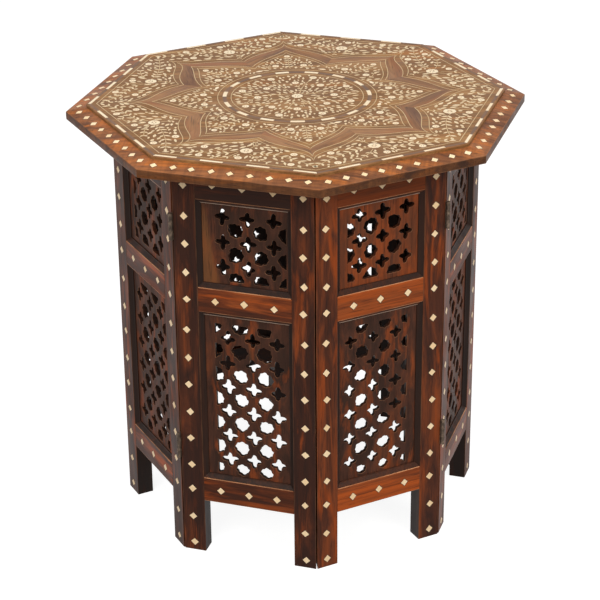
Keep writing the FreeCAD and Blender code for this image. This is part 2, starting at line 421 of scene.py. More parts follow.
def wood(name, dark, mid, light, glow, streaks=0.5, shine=0.42, edge=(150, 104, 74), rubbed_and_lit=(0.1, 0.6),
         flow=1.0, ripple=0.0, sapwood=None):
    """Waxed rosewood: broad flames of figure, near-black streaks, open pores, worn edges (a painted highlight
    on rails and beads) and painted shade.
    """
    made = new_shader(name)
    noise, maths, cover = made.noise, made.maths, made.cover
    tone = maths("SUBTRACT", made.mark("tone"), 0.5)

    def toned(value, share):
        return maths("ADD", value, maths("MULTIPLY", tone, share))
    figure = toned(noise(46.0, 6.0 * flow, detail=6.0, roughness=0.62, distortion=0.9), 0.34)
    colour = made.ramp(figure, (0.38, dark), (0.50, mid), (0.62, light))
    patches = toned(noise(58.0, 7.0 * flow, detail=5.0, roughness=0.58, distortion=0.6), 0.22)
    colour = cover(colour, glow, patches, (0.52, 0.0), (0.64, 0.9))
    fine = noise(260.0, 7.0, roughness=0.6, distortion=0.3)
    colour = cover(colour, dark, fine, (0.35, 0.42), (0.60, 0.0))
    black = toned(noise(90.0, 4.2 * flow, roughness=0.65, distortion=0.7), -0.12)
    colour = cover(colour, (40, 23, 17), black, (0.52, 0.0), (0.60, streaks))
    if ripple:
        bands = noise(14.0, 190.0, detail=3.0, roughness=0.6)
        colour = cover(colour, dark, bands, (0.38, ripple), (0.58, 0.0))
    if sapwood:
        ragged = maths("SUBTRACT", maths("MULTIPLY", noise(70.0, 9.0), 1.6), 0.8)
        colour = cover(colour, sapwood, maths("ADD", made.mark("sap"), ragged), (0.3, 0.0), (0.8, 0.7))
    pores = made.ramp(noise(900.0, 42.0, detail=1.0), (0.62, 0.0), (0.70, 0.5))
    colour = made.mix(pores, colour, (26, 16, 12))
    # Painted shade: faces marked with darkening are mixed towards dark brown.
    colour = made.mix(maths("MULTIPLY", made.mark("stain"), 0.72), colour, (32, 23, 19))
    # Worn edges; on rails and beads their pale colour is a painted highlight along the arrises.
    rub_and_highlight = made.ramp(noise(60.0, 30.0, detail=3.0), (0.36, rubbed_and_lit[0]), (0.62, rubbed_and_lit[1]))
    colour = made.mix(maths("MULTIPLY", made.mark("wear"), rub_and_highlight), colour, edge)
    gloss = made.ramp(noise(35.0, 12.0, detail=3.0), (0.3, shine - 0.07), (0.7, shine + 0.11))
    height = maths("SUBTRACT", maths("MULTIPLY", fine, 0.6), pores)
    return made.finish(colour, gloss, height, 0.35, 0.00025, Specular_IOR_Level=0.1)


def bone(name, pale, warm, grey):
    """Cut bone: cream with fine growth lines, pits and a soft polish."""
    made = new_shader(name)
    colour = made.ramp(made.noise(30.0, 30.0, detail=2.0), (0.34, warm), (0.62, pale))
    lines = made.noise(700.0, 60.0, detail=3.0)
    colour = made.cover(colour, warm, lines, (0.40, 0.35), (0.60, 0.0))
    colour = made.cover(colour, grey, made.noise(1500.0, 700.0, detail=1.0), (0.66, 0.0), (0.74, 0.6))
    colour = made.mix(made.maths("MULTIPLY", made.mark("wear"), 0.55), colour, grey)
    gloss = made.ramp(lines, (0.3, 0.34), (0.7, 0.5))
    return made.finish(colour, gloss, lines, 0.2, 0.0001, Specular_IOR_Level=0.3)


def filler(name, colour, other):
    """Dark wood or pitch round and between the bone."""
    made = new_shader(name)
    tone = made.noise(160.0, 18.0, distortion=0.4)
    colour = made.ramp(tone, (0.35, colour), (0.65, other))
    gloss = made.ramp(tone, (0.3, 0.42), (0.7, 0.58))
    return made.finish(colour, gloss, tone, 0.25, 0.0001, Specular_IOR_Level=0.2)


def aged_metal(name, bright, dull, stain):
    """Hinge iron with a brown skin, rubbed on its edges."""
    made = new_shader(name)
    blotch = made.noise(260.0, 160.0, detail=5.0, roughness=0.6)
    colour = made.ramp(blotch, (0.34, stain), (0.52, dull), (0.72, bright))
    colour = made.mix(made.maths("MULTIPLY", made.mark("wear"), 0.6), colour, bright)
    gloss = made.ramp(blotch, (0.3, 0.70), (0.7, 0.50))
    scratches = made.maths("MULTIPLY", made.noise(1400.0, 90.0, detail=2.0), 0.4)
    return made.finish(colour, gloss, made.maths("ADD", blotch, scratches), 0.3, 0.0002, Metallic=0.6)


STILE = wood("stile_wood", (54, 29, 20), (86, 45, 28), (124, 62, 32), (152, 70, 28),
             streaks=0.6, rubbed_and_lit=(0.0, 0.35), flow=1.3)
# The rails' pale orange edge colour is partly wear and partly a painted highlight on their arrises.
RAIL = wood("rail_wood", (70, 36, 22), (112, 54, 28), (152, 76, 36), (176, 82, 32),
            streaks=0.4, edge=(206, 146, 104), rubbed_and_lit=(0.3, 0.95))
LATTICE = wood("lattice_wood", (54, 34, 25), (76, 46, 34), (106, 58, 36), (144, 70, 34),
               streaks=0.25, shine=0.5, flow=2.2, sapwood=(114, 74, 44))
# The beads' pale grey edge colour is a painted highlight on the upper bead's arris.
BEAD_WOOD = wood("bead_wood", (50, 32, 25), (76, 46, 34), (104, 58, 36), (126, 64, 32),
                 streaks=0.3, edge=(184, 162, 144), rubbed_and_lit=(0.6, 1.0))
FIELD = wood("field_wood", (130, 90, 52), (162, 118, 72), (178, 134, 82), (174, 114, 60), streaks=0.15)
STAR = wood("star_wood", (112, 74, 48), (144, 100, 62), (166, 118, 74), (152, 94, 52),
            streaks=0.15, shine=0.38)
BORDER = wood("border_wood", (84, 52, 34), (134, 82, 49), (168, 106, 62), (190, 110, 50),
              streaks=0.25, ripple=0.35)
BONE = bone("bone_plates", (252, 226, 186), (242, 208, 160), (190, 160, 120))
INLAY_BONE = bone("inlay_bone", (246, 232, 202), (236, 212, 176), (196, 172, 138))
LEAF_BONE = bone("leaf_bone", (236, 216, 180), (214, 190, 150), (184, 156, 118))
THREAD = bone("bone_lines", (212, 186, 142), (194, 164, 118), (160, 128, 92))
DARK = filler("dark_filler", (40, 27, 21), (62, 42, 31))
DARK_DASH = filler("dark_dashes", (100, 74, 58), (130, 98, 76))
METAL = aged_metal("hinge_metal_skin", (128, 108, 90), (84, 70, 58), (50, 39, 32))


# Base

class Panel:
    """One side of the base: turns its own measures into places in space."""

    def __init__(self, name):
        self.name = name
        self.body = name + "_panel"
        self.normal = polar(1, PANELS[name])
        self.tangent = UP.cross(self.normal)
        self.hand = 1 if name in PIN_PANELS else -1

    def at(self, across, height, depth):
        """A point across the panel, above the floor and behind the frame's outer face."""
        return self.normal * (APOTHEM - depth) + self.tangent * across + UP * height

    def outer(self, across, height, proud):
        return self.at(across, height, -proud)


EDGE_WIDTH = 0.7
MITRE_GAP = 1.15
MITRE_FILL = 1.2
MITRE_NARROWING = 0.45
TOP_RAIL_PAINTED_SHADOW = 0.7


def dress_stile(panel, node, tone):
    """An upright whose mitred side meets its neighbour's at the back, with a groove in front darkened by
    painted shade on the mitred side.
    """
    piece = packed(node)
    side = 1 if node.endswith("right_stile") else -1
    corner_across = UP.cross(polar(1, PANELS[panel.name] + side * HALF_CORNER))
    for vert in piece.bm.verts:
        if abs(vert.co.dot(corner_across)) < MITRE_GAP + 0.1:
            is_inner = vert.co.dot(panel.normal) < APOTHEM - FRAME_DEPTH / 2
            vert.co += panel.tangent * side * (MITRE_FILL if is_inner else MITRE_NARROWING)
    # Painted shade on the inner face and on the mitred side, which faces the neighbouring upright in the
    # groove.
    piece.shade_towards(-panel.normal)
    piece.shade_towards(-panel.tangent * side)
    piece.ease(EDGE_WIDTH)
    made = piece.finish(node + "_wood", panel.body, "stile_rosewood", STILE, upright, tone=tone)
    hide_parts(node)


def dress_rails(panel, node, tone):
    """The three rails, the highest darkened by a painted shadow of the top's edge."""
    piece = packed(node)
    # Painted shadow of the top's overhang on the highest rail.
    for face in piece.bm.faces:
        if face.calc_center_median().z > UPPER_OPENING[1]:
            piece.mark(face, "stain", TOP_RAIL_PAINTED_SHADOW)
    # Painted shade on the undersides and inner faces.
    piece.shade_towards(-UP)
    piece.shade_towards(-panel.normal)
    piece.ease(EDGE_WIDTH)
    for face in piece.bm.faces:
        if abs(face.calc_center_median().dot(panel.tangent)) > OPENING_HALF - 1:
            piece.mark(face, "wear", 0.0)
    made = piece.finish(node + "_wood", panel.body, "rail_rosewood", RAIL, level, tone=tone)
    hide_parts(node)


# Lattice boards

STAR_TIP = 9.4
STAR_HOLLOW = 4.4
STAR_STEPS = 8
ROSETTE_RADIUS = 8.0
ROSETTE_LOBE = 1.6
ROSETTE_STEPS = 40
CUT_ROW_DROP = 2.5
OVAL_WIDTH, OVAL_HEIGHT, OVAL_RISE = 0.84, 0.74, 2.4
HOLE_EASE = 0.35
WALL_FLATNESS, FACE_FLATNESS = 0.3, 0.95
# Boards whose holes are cut smaller than the others'.
HOLE_SIZES = {"front_right_lower_jali": 0.87, "back_left_lower_jali": 0.78, "back_right_lower_jali": 0.76}
COLUMNS = 3
PITCH = 29.5
# left and low are the lattice's corner, and first is the first column of rosettes.
UPPER_LATTICE = dict(opening=UPPER_OPENING, left=-40.84, low=357.0, row_pitch=30.0, rows=3,
                     first=1, cut_top=False)
MATE_UPPER_LATTICE = dict(UPPER_LATTICE, left=-49.15, low=359.69)
LOWER_LATTICE = dict(opening=LOWER_OPENING, left=-38.29, low=112.62, row_pitch=31.0, rows=6,
                     first=0, cut_top=True)
# Pale sapwood along the left edge of one board.
SAPWOOD_BOARD = "front_left_upper_jali"
SAPWOOD_EDGE, SAPWOOD_SLOPE, SAPWOOD_FADE = -23.0, 0.2, 12.0
SAPWOOD_FOOT = UPPER_OPENING[0] + BOARD_FIT


def star_outline(dice, size):
    """A four-pointed star whose sides hollow inwards, cut by hand."""
    points = []
    tips = [STAR_TIP * size * dice.uniform(0.84, 1.12) for _ in range(4)]
    hollows = [STAR_HOLLOW * size * dice.uniform(0.84, 1.2) for _ in range(4)]
    turn = dice.uniform(-0.09, 0.09)
    for quarter in range(4):
        for step in range(STAR_STEPS):
            share = (step + 0.5) / STAR_STEPS
            bend = abs(cos(pi * share))
            reach = tips[quarter] if share < 0.5 else tips[(quarter + 1) % 4]
            radius = hollows[quarter] + (reach - hollows[quarter]) * bend ** 1.8
            points.append(around(radius, radians(90 * (quarter + share)) + turn))
    return points


def rosette_outline(dice, size):
    """A rosette with eight lobes, its edge uneven."""
    turn = dice.uniform(-0.1, 0.1)
    size *= dice.uniform(0.93, 1.05)
    phases = [dice.uniform(0, 2 * pi) for _ in range(3)]
    points = []
    for step in range(ROSETTE_STEPS):
        angle = 2 * pi * step / ROSETTE_STEPS
        lobe = ROSETTE_LOBE * abs(cos(4 * angle)) * dice.uniform(0.7, 1.1)
        wander = sum(depth * cos(order * angle + phase)
                     for order, depth, phase in zip((2, 3, 4), (0.4, 0.45, 0.35), phases))
        points.append(around((ROSETTE_RADIUS + lobe + wander) * size, angle + turn))
    return points


def clipped(outline, axis, limit, sign):
    """The part of an outline up to a limit on an axis, or beyond it where the sign is -1."""
    kept = []
    for point, after in zip(outline, outline[1:] + outline[:1]):
        inside, inside_after = [sign * (limit - end[axis]) >= 0 for end in (point, after)]
        if inside:
            kept.append(point)
        if inside != inside_after:
            share = (limit - point[axis]) / (after[axis] - point[axis])
            kept.append(tuple(one + share * (two - one) for one, two in zip(point, after)))
    return kept


def board_outlines(dice, size, opening, left, low, row_pitch, rows, first, cut_top):
    """The board's edge, then stars with rosettes at their corners, cut short at the lattice's edges."""
    half, foot, head = OPENING_HALF - BOARD_FIT, opening[0] + BOARD_FIT, opening[1] - BOARD_FIT
    outlines = [[(-half, foot), (half, foot), (half, head), (-half, head)]]
    right, high = left + COLUMNS * PITCH, low + rows * row_pitch

    def place(outline, column, row):
        wander = dice.uniform(-0.35, 0.35), dice.uniform(-0.35, 0.35)
        across, up = left + column * PITCH, low + row * row_pitch
        return [(x + across + wander[0], y + up + wander[1]) for x, y in outline]

    for column in range(COLUMNS):
        for row in range(rows):
            outlines.append(place(star_outline(dice, size), column + 0.5, row + 0.5))
    for column in range(first, first + COLUMNS):
        for row in range(rows + 1 if cut_top else rows):
            outline = rosette_outline(dice, size)
            if row == 0 and cut_top:
                outline = [(x * OVAL_WIDTH, y * OVAL_HEIGHT + OVAL_RISE) for x, y in outline]
            hole = place(outline, column, row)
            if column == 0:
                hole = clipped(hole, 0, left, -1)
            if column == COLUMNS:
                hole = clipped(hole, 0, right, 1)
            if row == 0 and not cut_top:
                hole = clipped(hole, 1, low - CUT_ROW_DROP, -1)
            if row == rows:
                hole = clipped(hole, 1, high + CUT_ROW_DROP, 1)
            outlines.append(hole)
    return outlines


def pierced_mesh(name, outlines, hand):
    """A flat board with holes, as a filled curve turned into a mesh."""
    curve = bpy.data.curves.new(name, "CURVE")
    curve.dimensions = "2D"
    curve.fill_mode = "BOTH"
    curve.extrude = (BOARD_THICKNESS / 2 - HOLE_EASE) * MM
    curve.bevel_depth = HOLE_EASE * MM
    curve.bevel_resolution = 1
    curve.offset = -HOLE_EASE * MM
    for outline in outlines:
        spline = curve.splines.new("POLY")
        spline.points.add(len(outline) - 1)
        for point, (x, y) in zip(spline.points, outline):
            point.co = (x * hand * MM, y * MM, 0, 1)
        spline.use_cyclic_u = True
    holder = linked(name, curve)
    bpy.context.view_layer.update()
    mesh = bpy.data.meshes.new_from_object(holder.evaluated_get(bpy.context.evaluated_depsgraph_get()))
    bpy.data.objects.remove(holder)
    bpy.data.curves.remove(curve)
    return mesh


def pierced_board(panel, node, layout, tone):
    """A board pierced with a fretsaw."""
    outlines = board_outlines(random.Random(node), HOLE_SIZES.get(node, 1.0), **layout)
    mesh = pierced_mesh(node + "_curve", outlines, panel.hand)
    piece = Piece(mesh)
    bpy.data.meshes.remove(mesh)
    for face in piece.bm.faces:
        flatness = abs(face.normal.z)
        # Painted shade on the hole walls; the eased edges of the holes are marked worn.
        if flatness <= WALL_FLATNESS:
            piece.mark(face, "stain", HOLE_WALL_PAINTED_SHADE)
        elif flatness < FACE_FLATNESS:
            piece.mark(face, "wear", 1.0)
    middle = BOARD_FRONT + BOARD_THICKNESS / 2
    sap = piece.bm.verts.layers.float.new("sap")
    for vert in piece.bm.verts:
        x, y, z = vert.co / MM
        if node == SAPWOOD_BOARD:
            vert[sap] = (SAPWOOD_EDGE - x - SAPWOOD_SLOPE * (y - SAPWOOD_FOOT)) / SAPWOOD_FADE
        vert.co = panel.at(x, y, middle - z)
    # Painted shade on the board's inner face.
    piece.shade_towards(-panel.normal)
    made = piece.finish(node + "_wood", panel.body, "lattice_rosewood", LATTICE, upright, tone=tone)
    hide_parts(node)


# Beads: mitred mouldings between the frame and the boards, on both faces

BEAD_PROFILE = [(0.0, 0.7), (0.5, 0.9), (4.2, 4.3), (5.0, 4.6), (5.3, 5.1), (5.3, 6.0), (0.0, 6.0)]
# The upper bead's arris faces carry a painted highlight, and all strips are darkened with painted shade:
# bottom, side, top, side.
BEAD_EDGES = (2, 3)
UPPER_BEAD = 2
BEAD_PAINTED_SHADES = (0.95, 1.2, 0.5, 1.2)
INNER_BEAD_START = 3.0


def bead(piece, place, foot, head, depth):
    """Four mitred strips round an opening. depth turns the profile's depth into the panel's."""
    corners = [(-1, foot, 1), (1, foot, 1), (1, head, -1), (-1, head, -1)]
    for side in range(4):
        verts = []
        for sign, edge, rise in (corners[side], corners[(side + 1) % 4]):
            verts.append([piece.bm.verts.new(place(sign * (OPENING_HALF - reach), edge + rise * reach,
                                                   depth(below))) for reach, below in BEAD_PROFILE])
        for corner in range(len(BEAD_PROFILE)):
            after = (corner + 1) % len(BEAD_PROFILE)
            face = piece.bm.faces.new((verts[0][corner], verts[0][after], verts[1][after],
                                       verts[1][corner]))
            # Painted shade on each strip, and a painted highlight on the upper bead's arris.
            piece.mark(face, "stain", BEAD_PAINTED_SHADES[side])
            if corner in BEAD_EDGES and side == UPPER_BEAD:
                piece.mark(face, "stain", 0.0)
                piece.mark(face, "wear", 1.0)
        piece.bm.faces.new(verts[0])
        piece.bm.faces.new(verts[1])


def make_beads(panel, tone):
    piece = Piece()
    for foot, head in (UPPER_OPENING, LOWER_OPENING):
        bead(piece, panel.at, foot, head, lambda below: below)
        bead(piece, panel.at, foot, head, lambda below: FRAME_DEPTH - INNER_BEAD_START - below)
    piece.finish(panel.name + "_beads", panel.body, "rail_rosewood", BEAD_WOOD, upright, tone=tone)


# Bone diamonds

# Half a diamond across and up, and the bottom, top and chamfer of diamonds and their seats.
DIAMOND_HALVES = (4.6, 4.6 * 1.02)
DIAMOND_LEVELS = (-0.6, 0.18, 0.12)
SEAT_LEVELS = (-0.5, 0.04, 0.02)
SEAT_RIM = 0.5
STILE_DIAMONDS = (466, 431, 397, 362, 329, 292, 255.5, 222, 186, 151.5, 116, 84, 46, 10.5)
STILE_CENTRE = 69.0
RAIL_DIAMONDS = (-34.5, 0.0, 34.5)
RAIL_HEIGHTS = (468.5, 331.0, 85.5)
TOP_ROW_RISES = {"front_left": 1.8}


def let_in_diamonds(name, body, along, dice, spots):
    """Diamonds in dark seats. A spot is a place function, a centre and the half sizes."""
    plates, seats = Piece(), Piece()
    for place, centre, halves in spots:
        outline = [[middle + share * half * dice.uniform(0.93, 1.06) + dice.uniform(-0.25, 0.25)
                    for middle, share, half in zip(centre, corner, halves)]
                   for corner in ((1, 0), (0, 1), (-1, 0), (0, -1))]
        plate(plates, outline, place, *DIAMOND_LEVELS)
        plate(seats, inset(outline, -SEAT_RIM), place, *SEAT_LEVELS)
    plates.finish(name + "_diamonds", body, "bone", BONE, along)
    seats.finish(name + "_diamond_seats", body, "dark_inlay", DARK, along)


def make_diamonds(panel):
    dice = random.Random(panel.name)
    centres = [(side * STILE_CENTRE, height) for side in (-1, 1) for height in STILE_DIAMONDS]
    centres += [(across, height) for height in RAIL_HEIGHTS for across in RAIL_DIAMONDS]

    def spots():
        for across, height in centres:
            if height > UPPER_OPENING[1]:
                height += TOP_ROW_RISES.get(panel.name, 0.0)
            centre = across + dice.uniform(-0.7, 0.7), height + dice.uniform(-0.7, 0.7)
            yield panel.outer, centre, DIAMOND_HALVES
    let_in_diamonds(panel.name, panel.body, upright, dice, spots())


# Hinges

HINGE_HEIGHT = 32.0
HINGE_CENTRES = (417.0, 141.0)
KNUCKLE_RADIUS = 2.4
KNUCKLE_NECK = KNUCKLE_RADIUS + 1.1
KNUCKLE_STEPS = 22
KNUCKLE_EASE = 0.2
KNUCKLE_GAP = 0.3
LEAF_GAP = 0.3
LEAF_THICKNESS = 1.0
LEAF_WIDTH = 13.0
LEAF_NEAR, LEAF_FAR = LEAF_GAP / 2, LEAF_GAP / 2 + LEAF_THICKNESS
END_KNUCKLE = HINGE_HEIGHT / 3 - KNUCKLE_GAP / 2
OUTSIDE_PIN = 218.30
INSIDE_PIN = 190.77
# Half a pin: its radii and how far they lie beyond the hinge's end.
PIN_PROFILE = ((0.9, 0.45), (1.5, 0.1), (1.5, -0.5), (1.05, -0.6))


def hinge_places(panel):
    """For each hinge of a panel: the pin's place, the direction into the wood and the wood's side."""
    for hand, radius, inwards in ((-1, OUTSIDE_PIN, -1), (1, INSIDE_PIN, 1)):
        outward = polar(1, PANELS[panel.name] + hand * panel.hand * HALF_CORNER)
        to_wood = UP.cross(outward) * (-hand * panel.hand)
        for height in HINGE_CENTRES:
            yield outward * radius + UP * height, outward * inwards, to_wood


def knuckle_outline():
    """The barrel with the neck that runs into its plate."""
    start = asin(LEAF_FAR / KNUCKLE_RADIUS)
    end = 2 * pi - asin(0.02)
    return [(KNUCKLE_NECK, LEAF_NEAR), (KNUCKLE_NECK, LEAF_FAR)] + [
        around(KNUCKLE_RADIUS, start + (end - start) * step / KNUCKLE_STEPS)
        for step in range(KNUCKLE_STEPS + 1)]


def make_hinges(panel):
    has_pins = panel.name in PIN_PANELS
    leaves, pins = Piece(), Piece()
    half_height = HINGE_HEIGHT / 2
    start = KNUCKLE_RADIUS + LEAF_GAP
    leaf_corners = [(start, LEAF_NEAR), (start + LEAF_WIDTH, LEAF_NEAR),
                    (start + LEAF_WIDTH, LEAF_FAR), (start, LEAF_FAR)]
    middle = (HINGE_HEIGHT / 3 - KNUCKLE_GAP) / 2
    knuckles = [(-middle, middle)]
    if has_pins:
        knuckles = [(-half_height, END_KNUCKLE - half_height), (half_height - END_KNUCKLE, half_height)]
    outline = knuckle_outline()
    crown = inset(outline, KNUCKLE_EASE)
    pin_levels = [(radius, -half_height - beyond) for radius, beyond in PIN_PROFILE]
    pin_levels += [(radius, half_height + beyond) for radius, beyond in PIN_PROFILE[::-1]]
    for pin, along, to_wood in hinge_places(panel):
        def place(x, y, z):
            return pin + along * x + to_wood * y + UP * z
        plate(leaves, leaf_corners, place, -half_height, half_height, LEAF_CHAMFER)
        for foot, head in knuckles:
            rings = ((crown, foot), (outline, foot + KNUCKLE_EASE),
                     (outline, head - KNUCKLE_EASE), (crown, head))
            leaves.solid([[place(x, y, height) for x, y in ring] for ring, height in rings], worn=(0, 2))
        if has_pins:
            pins.solid([[place(*around(radius, pi * step / 8), height) for step in range(16)]
                        for radius, height in pin_levels], worn=(0, 6))
    made = leaves.finish(panel.name + "_hinges", panel.body, "hinge_metal", METAL, upright, smooth=True)
    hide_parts(panel.name + "_hinge_leaves")
    if has_pins:
        made = pins.finish(panel.name + "_pins", panel.body, "hinge_metal", METAL, upright, smooth=True)
        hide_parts(panel.name + "_hinge_pins")


# How light the wood of each panel is: its left and right upright, rails, upper board and lower board.
PANEL_TONES = {
    "front_left": (0.34, 0.34, 0.30, 0.42, 0.38), "front_right": (0.62, 0.40, 0.98, 0.95, 0.42),
    "right_front": (0.45, 0.45, 0.36, 0.42, 0.45), "left_front": (0.45, 0.40, 0.34, 0.44, 0.48),
    "right_back": (0.55, 0.50, 0.60, 0.60, 0.40), "left_back": (0.40, 0.48, 0.55, 0.50, 0.60),
    "back_right": (0.50, 0.56, 0.45, 0.45, 0.55), "back_left": (0.60, 0.54, 0.60, 0.65, 0.50),
}

for panel_name, (left_tone, right_tone, rail_tone, upper_tone, lower_tone) in PANEL_TONES.items():
    side_panel = Panel(panel_name)
    dress_stile(side_panel, panel_name + "_left_stile", left_tone)
    dress_stile(side_panel, panel_name + "_right_stile", right_tone)
    dress_rails(side_panel, panel_name + "_rails", rail_tone)
    pierced_board(side_panel, panel_name + "_upper_jali",
                  UPPER_LATTICE if panel_name in PIN_PANELS else MATE_UPPER_LATTICE, upper_tone)
    pierced_board(side_panel, panel_name + "_lower_jali", LOWER_LATTICE, lower_tone)
    make_beads(side_panel, (upper_tone + lower_tone) / 2)
    make_diamonds(side_panel)
    make_hinges(side_panel)


# Top

FIELD_BARE = 507.8
FIELD_EASE = 0.9
FIELD_CROWN = 0.3 * FIELD_EASE
FIELD_UNDER_EASE = 0.3
BORDER_EASE = 0.8
BORDER_CLEARANCE = 0.1
BORDER_EDGE_PAINTED_SHADE = 0.9


def top_place(turn, hand=1):
    """Places points given along and beside a ray from the centre."""
    out = polar(1, turn)
    beside = UP.cross(out) * hand

    def place(along, across, height):
        return out * along + beside * across + UP * height
    return place


def octagon(apothem, height):
    radius = apothem / cos(radians(HALF_CORNER))
    return [polar(radius, 45 * side) + UP * height for side in range(SIDES)]


def make_field():
    piece = Piece()
    levels = ((FIELD_UNDER_EASE, PANEL_HEIGHT), (0, PANEL_HEIGHT + FIELD_UNDER_EASE),
              (0, FIELD_BARE - FIELD_EASE), (FIELD_CROWN, FIELD_BARE - FIELD_CROWN),
              (FIELD_EASE, FIELD_BARE))
    piece.solid([octagon(FIELD_APOTHEM - inwards, height) for inwards, height in levels], worn=(2, 3))
    made = piece.finish("top_field", "table_top", "top_rosewood", FIELD, sideways)
    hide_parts("top_board")


def make_border():
    """The mitred border. Its upright edge is darkened with painted shade."""
    piece = packed("top_border")
    for face in piece.bm.faces:
        centre = face.calc_center_median()
        outwards = face.normal.dot(Vector((centre.x, centre.y, 0)))
        # Painted shade on the upright outer edge.
        if abs(face.normal.z) < 0.1 and outwards > 0.9 * BORDER_OUTER:
            piece.mark(face, "stain", BORDER_EDGE_PAINTED_SHADE)
    for vert in piece.bm.verts:
        if vert.co.z < PANEL_HEIGHT + 0.01:
            vert.co.z += BORDER_CLEARANCE
    piece.ease(BORDER_EASE)
    made = piece.finish("top_border_wood", "table_top", "border_rosewood", BORDER, level, tone=0.6)
    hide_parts("top_border")


# Outlines of the inlay. A ray's own measures are the way out along it and the way across it.

RAYS = [45 * side for side in range(SIDES)]
BETWEEN = [45 * side + HALF_CORNER for side in range(SIDES)]
OGEE_STEPS = 12
OCTAGON_LINE = 213.5
CIRCLE_LINES = (92.0, 76.5)


def ogee(tip, valley, near_tip, near_valley):
    """A pointed side of a star, from its tip on a ray to the valley half a corner away."""
    a, d = Vector((tip, 0)), polar(valley, HALF_CORNER).xy
    b, c = a + Vector((-near_tip[0], near_tip[1])), a + Vector((-near_valley[0], near_valley[1]))
    return [a * (1 - t) ** 3 + b * 3 * t * (1 - t) ** 2 + c * 3 * t * t * (1 - t) + d * t ** 3
            for t in (step / OGEE_STEPS for step in range(OGEE_STEPS + 1))]


SPANDREL_LINE = ogee(204.0, 146.5, (30, 2), (27, 36))
STAR_EDGE = ogee(190.5, 140.0, (26, 2), (24, 34))
PETAL_EDGE = ogee(167.5, 117.0, (16, 8), (32, 34))
PETAL_LINE = ogee(157.0, 110.0, (15, 8), (28, 33))


def mirror(points):
    return [Vector((point[0], -point[1])) for point in points]


def whole(quarter):
    """Both sides of a tip, from valley to valley."""
    return mirror(quarter[::-1]) + quarter[1:]


def turned(points, angle):
    """Points of one ray seen from another, by the angle between them in degrees."""
    turn = Matrix.Rotation(radians(angle), 2)
    return [turn @ Vector(point) for point in points]


def make_lines():
    piece, flat = Piece(), top_place(0)
    paths = [sum((turned(whole(quarter)[:-1], ray) for ray in RAYS), [])
             for quarter in (SPANDREL_LINE, STAR_EDGE, PETAL_EDGE, PETAL_LINE)]
    paths.append([point.xy for point in octagon(OCTAGON_LINE, 0)])
    paths += [[polar(radius, 4 * step).xy for step in range(90)] for radius in CIRCLE_LINES]
    for path in paths:
        ribbon(piece, path, flat, closed=True)
    piece.finish("top_lines", "table_top", "bone", THREAD, sideways)


STAR_TOP = 507.85
STAR_CHAMFER = 0.04


def make_star():
    """The plain star between the outlines, sixteen pieces of wood that follow its sides."""
    piece = Piece()
    ways = []
    for ray in RAYS:
        for hand in (-1, 1):
            place = top_place(ray, hand)
            plate(piece, STAR_EDGE + PETAL_EDGE[::-1], place, INLAY_BOTTOM, STAR_TOP, STAR_CHAMFER)
            start, end = place(*STAR_EDGE[0], 0), place(*STAR_EDGE[-1], 0)
            ways.append(((start + end) / 2, (end - start).normalized()))

    def along_side(centre):
        return min(ways, key=lambda side: (side[0] - Vector((centre.x, centre.y, 0))).length)[1]
    piece.finish("top_star", "table_top", "top_rosewood", STAR, along_side)


# Dashes round the field and round the middle

DASH_APOTHEM = 221.0
DASH_WIDTH = 3.3
DASHES_PER_SIDE = 7
DASH_GAP = 0.25
BONE_FIRST_SIDES = (112.5, 157.5, 247.5, 337.5)
RING_RADIUS = 84.0
RING_WIDTH = 4.6
RING_DASHES = 15
RING_START = 97.4
RING_BONE_SHARE = 0.475


def make_dashes():
    bone_piece, dark_piece = Piece(), Piece()

    def dash(outline, place, is_bone):
        plate(bone_piece if is_bone else dark_piece, outline, place, INLAY_BOTTOM,
              BONE_TOP if is_bone else LINE_TOP, PLATE_CHAMFER)
    low, high = DASH_APOTHEM - DASH_WIDTH / 2, DASH_APOTHEM + DASH_WIDTH / 2
    half, lean = DASH_APOTHEM * CORNER_TAN, DASH_WIDTH / 2 * CORNER_TAN
    for direction in BETWEEN:
        for index in range(DASHES_PER_SIDE):
            start = half * (2 * index / DASHES_PER_SIDE - 1) + DASH_GAP
            end = half * (2 * (index + 1) / DASHES_PER_SIDE - 1) - DASH_GAP
            start_lean = -lean if index == 0 else 0
            end_lean = lean if index == DASHES_PER_SIDE - 1 else 0
            dash([(low, start - start_lean), (high, start + start_lean),
                  (high, end + end_lean), (low, end - end_lean)], top_place(direction),
                 (index % 2 == 0) == (direction in BONE_FIRST_SIDES))
    low, high = RING_RADIUS - RING_WIDTH / 2, RING_RADIUS + RING_WIDTH / 2
    pitch = 360 / RING_DASHES
    half = pitch * RING_BONE_SHARE / 2
    gap = degrees(DASH_GAP / RING_RADIUS)
    for index in range(RING_DASHES):
        middle = RING_START + pitch * index
        for start, end, is_bone in ((middle - half, middle + half, True),
                                    (middle + half, middle + pitch - half, False)):
            turns = [start + gap + (end - start - 2 * gap) * step / 6 for step in range(7)]
            outline = [polar(high, turn).xy for turn in turns] + [polar(low, turn).xy for turn in turns[::-1]]
            dash(outline, top_place(0), is_bone)
    bone_piece.finish("top_dashes", "table_top", "bone", INLAY_BONE, level)
    dark_piece.finish("top_dark_dashes", "table_top", "dark_inlay", DARK_DASH, level)


# Flowers, stems and leaves

LEAF_SHAPE = ((-0.5, 0.0), (-0.34, 0.32), (-0.08, 0.5), (0.2, 0.38), (0.5, 0.0),
              (0.2, -0.38), (-0.08, -0.5), (-0.34, -0.32))
PETAL_SHAPE = ((0.30, 0.0), (0.5, 0.42), (0.76, 0.76), (0.93, 0.6), (1.0, 0.0),
               (0.93, -0.6), (0.76, -0.76), (0.5, -0.42))
PETAL_FULLNESS = 1.12
EYE_SHARE = 0.27
# The leaf of bone that lies alone between the feet of two petals.
LONE_LEAF = dict(centre=(98.5, 0), angle=90, length=10.0, width=4.2)
